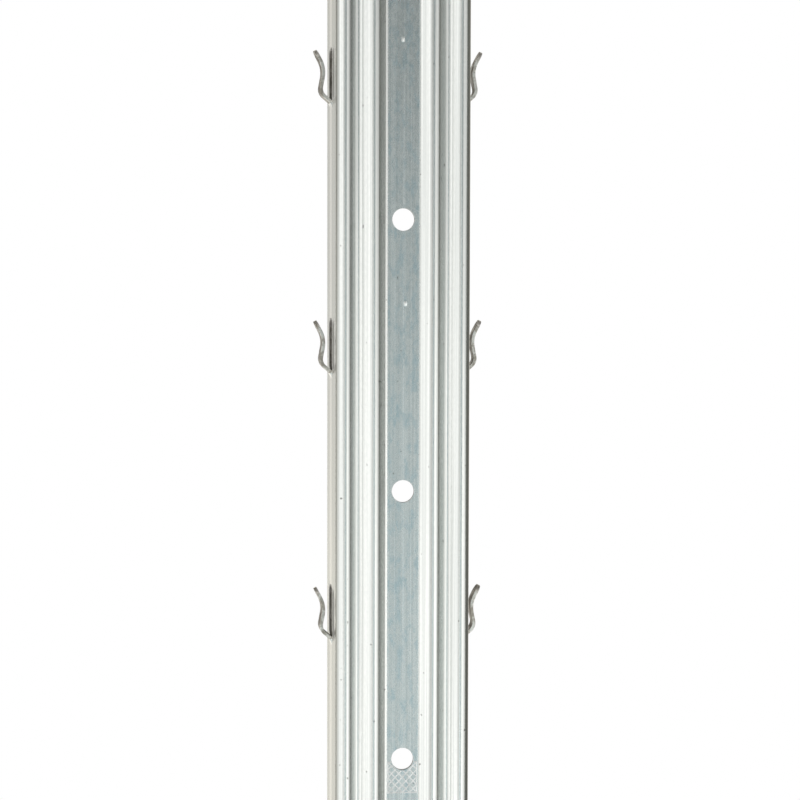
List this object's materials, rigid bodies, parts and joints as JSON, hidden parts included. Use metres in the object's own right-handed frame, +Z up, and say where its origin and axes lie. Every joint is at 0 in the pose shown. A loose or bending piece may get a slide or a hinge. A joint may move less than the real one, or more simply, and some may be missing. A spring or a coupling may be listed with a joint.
{
  "type": "vineyard post",
  "caption": "Roll-formed galvanised steel trellis post: open ribbed channel with web holes and wire hooks lanced from both side walls.",
  "frame": {"origin": "middle of the driven lower end, in the plane of its cut", "axes": "+Z up along the post, -Y out of the ribbed front with the holes, +Y out of the open back, +X to the right seen from the front"},
  "size_m": [0.0634, 0.035, 2.2],
  "materials": {
    "galvanised_sheet": "hot-dip galvanised sheet, satin, with faint spangle and rolling lines"
  },
  "bodies": {
    "root": {"post": "galvanised_sheet"}
  },
  "joints": []
}
